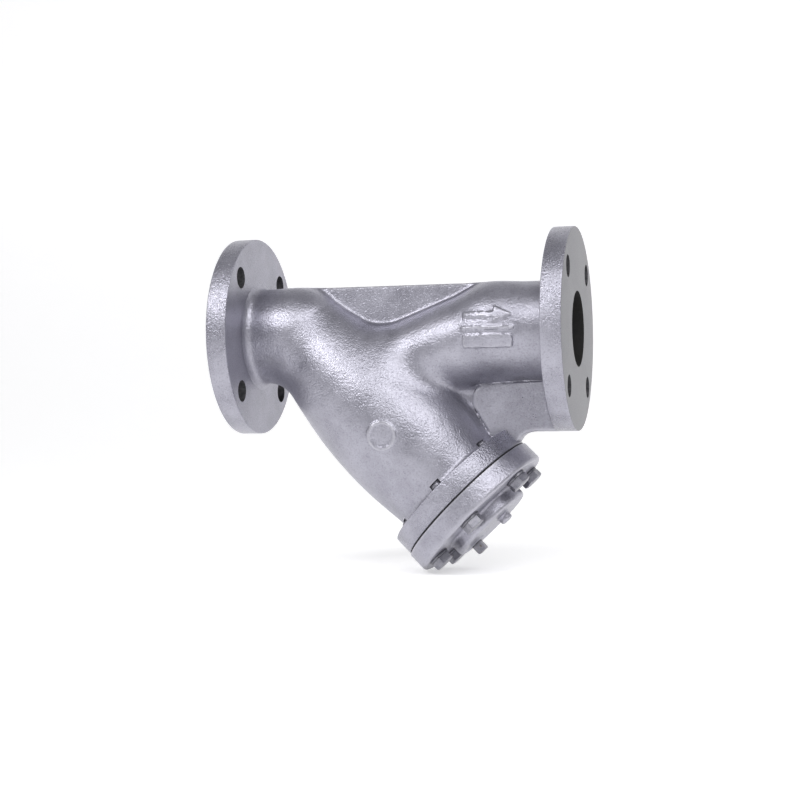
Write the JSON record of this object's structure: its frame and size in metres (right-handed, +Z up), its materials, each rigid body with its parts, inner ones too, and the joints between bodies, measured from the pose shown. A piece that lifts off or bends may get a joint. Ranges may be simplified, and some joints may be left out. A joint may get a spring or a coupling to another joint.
{
  "type": "y strainer",
  "caption": "flanged Y-pattern pipe strainer: cast body, slanted screen chamber, perforated basket screen, bolted cover with drain plug",
  "frame": {"origin": "on the pipe axis, midway between the two flange faces", "axes": "+X along the flow from the inlet flange to the outlet flange, +Z up, +Y to the far side seen with the inlet on the left; the branch runs down and downstream in the XZ plane"},
  "size_m": [0.306, 0.175, 0.2952],
  "materials": {
    "body_paint": "sand-cast ductile iron under silver paint",
    "cover_paint": "sand-cast ductile iron under silver paint",
    "gasket": "dark compressed fibre sheet",
    "screen_steel": "perforated stainless sheet",
    "screen_mesh": "fine woven stainless mesh",
    "bolt_steel": "steel, painted over with the body",
    "plug_steel": "forged steel, dull"
  },
  "bodies": {
    "body": {"inlet_flange": "body_paint", "inlet_neck": "body_paint", "barrel_head": "body_paint", "barrel_skirt": "body_paint", "branch_flange": "body_paint", "outlet_neck": "body_paint", "outlet_flange": "body_paint", "top_rib": "body_paint", "bottom_rib": "body_paint"},
    "cover": {"cover": "cover_paint"},
    "gasket": {"cover_gasket": "gasket"},
    "screen": {"screen_stave_1": "screen_steel", "screen_stave_2": "screen_steel", "screen_stave_3": "screen_steel", "screen_stave_4": "screen_steel", "screen_stave_5": "screen_steel", "screen_stave_6": "screen_steel", "screen_stave_7": "screen_steel", "screen_stave_8": "screen_steel", "screen_mesh_liner": "screen_mesh", "screen_inlet_ring": "screen_steel", "screen_cover_ring": "screen_steel"},
    "bolt_1": {"cover_bolt_1": "bolt_steel", "bolt_washer_1": "bolt_steel"},
    "bolt_2": {"cover_bolt_2": "bolt_steel", "bolt_washer_2": "bolt_steel"},
    "bolt_3": {"cover_bolt_3": "bolt_steel", "bolt_washer_3": "bolt_steel"},
    "bolt_4": {"cover_bolt_4": "bolt_steel", "bolt_washer_4": "bolt_steel"},
    "bolt_5": {"cover_bolt_5": "bolt_steel", "bolt_washer_5": "bolt_steel"},
    "bolt_6": {"cover_bolt_6": "bolt_steel", "bolt_washer_6": "bolt_steel"},
    "plug": {"drain_plug": "plug_steel"}
  },
  "joints": [
    {"name": "cover_draw", "type": "slide", "parent": "body", "child": "cover", "axis": [0.7071, 0, -0.7071], "range_m": [0, 0.4]},
    {"name": "gasket_draw", "type": "slide", "parent": "body", "child": "gasket", "axis": [0.7071, 0, -0.7071], "range_m": [0, 0.32]},
    {"name": "screen_draw", "type": "slide", "parent": "body", "child": "screen", "axis": [0.7071, 0, -0.7071], "range_m": [0, 0.192]},
    {"name": "bolt_1_unscrew", "type": "slide", "parent": "cover", "child": "bolt_1", "axis": [0.7071, 0, -0.7071], "range_m": [0, 0.046]},
    {"name": "bolt_2_unscrew", "type": "slide", "parent": "cover", "child": "bolt_2", "axis": [0.7071, 0, -0.7071], "range_m": [0, 0.046]},
    {"name": "bolt_3_unscrew", "type": "slide", "parent": "cover", "child": "bolt_3", "axis": [0.7071, 0, -0.7071], "range_m": [0, 0.046]},
    {"name": "bolt_4_unscrew", "type": "slide", "parent": "cover", "child": "bolt_4", "axis": [0.7071, 0, -0.7071], "range_m": [0, 0.046]},
    {"name": "bolt_5_unscrew", "type": "slide", "parent": "cover", "child": "bolt_5", "axis": [0.7071, 0, -0.7071], "range_m": [0, 0.046]},
    {"name": "bolt_6_unscrew", "type": "slide", "parent": "cover", "child": "bolt_6", "axis": [0.7071, 0, -0.7071], "range_m": [0, 0.046]},
    {"name": "plug_unscrew", "type": "slide", "parent": "cover", "child": "plug", "axis": [0.7071, 0, -0.7071], "range_m": [0, 0.02]}
  ],
  "couplings": [
    {"joint": "gasket_draw", "follows": "cover_draw", "ratio": 0.8},
    {"joint": "screen_draw", "follows": "cover_draw", "ratio": 0.48}
  ]
}
